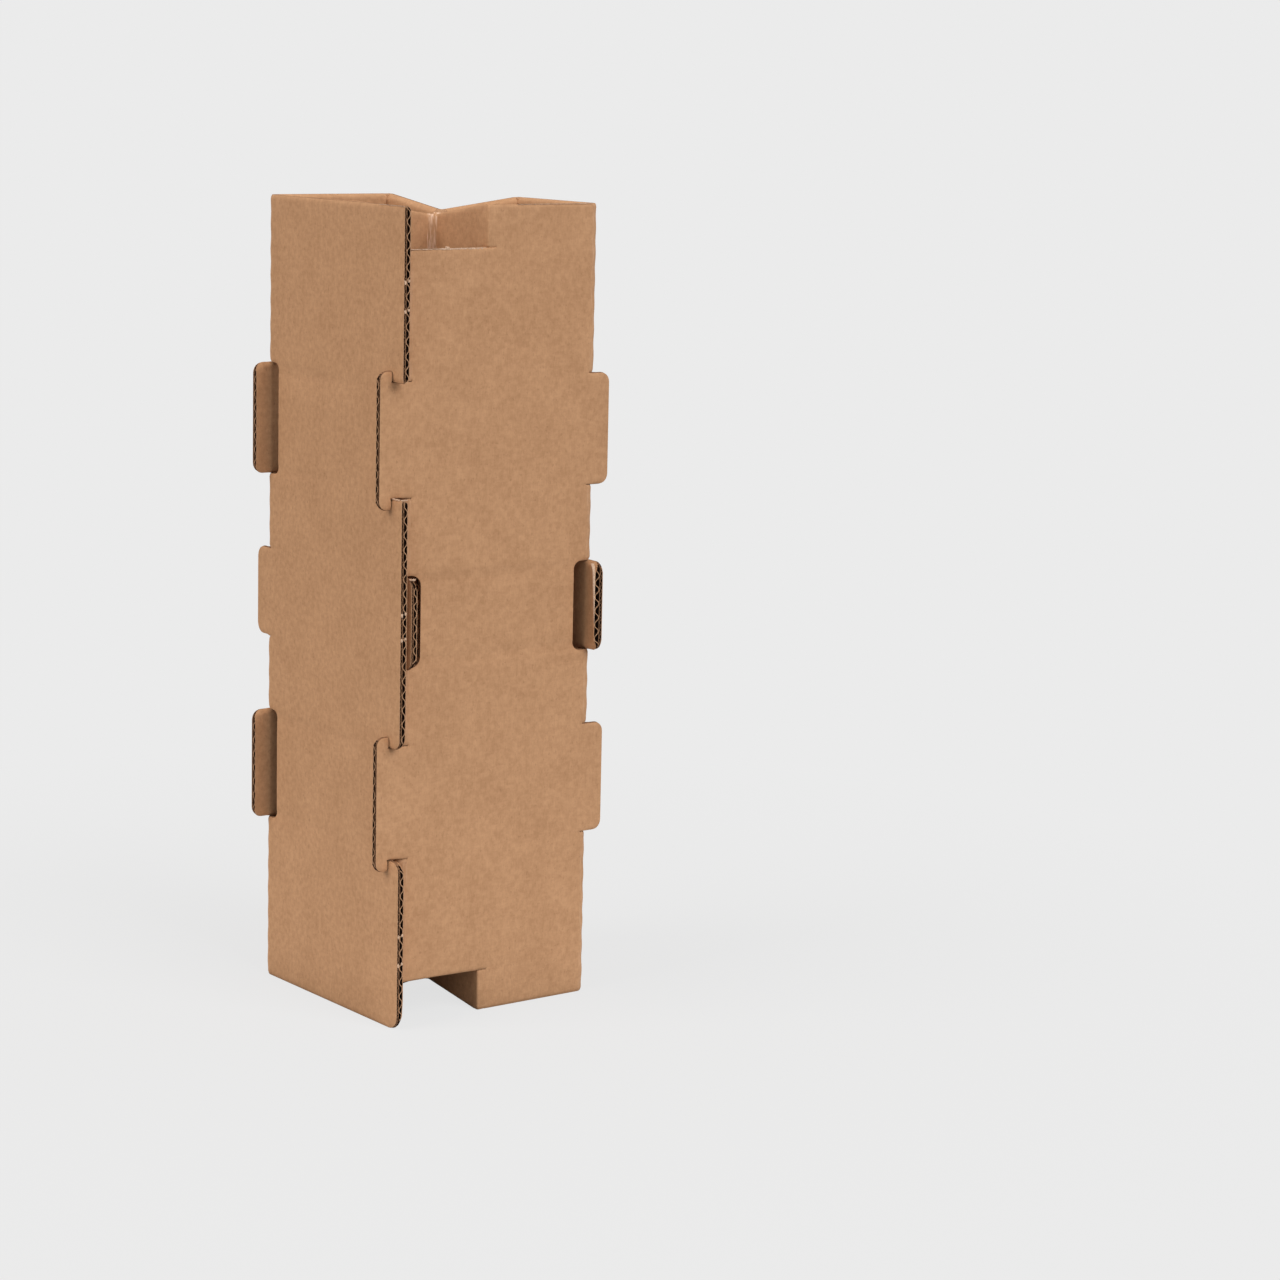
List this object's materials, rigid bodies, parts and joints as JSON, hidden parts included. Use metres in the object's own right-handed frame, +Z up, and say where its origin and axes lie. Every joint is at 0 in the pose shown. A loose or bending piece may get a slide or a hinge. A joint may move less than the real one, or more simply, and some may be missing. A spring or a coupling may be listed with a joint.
{
  "type": "bottle shipping box",
  "caption": "Tall square corrugated sleeve folded from one sheet, open at both ends, with pushed-in corners and spacing tongues that hold a bottle inside an outer carton.",
  "frame": {"origin": "middle of the footprint, tongues included, on the floor", "axes": "+Z up along the tube, -X out of the left wall with the raw edge, -Y out of the front wall with the hooked heads"},
  "size_m": [0.119, 0.116, 0.35],
  "materials": {
    "kraft_board": "matte brown kraft paper"
  },
  "bodies": {
    "root": {"folded_sleeve": "kraft_board"}
  },
  "joints": []
}
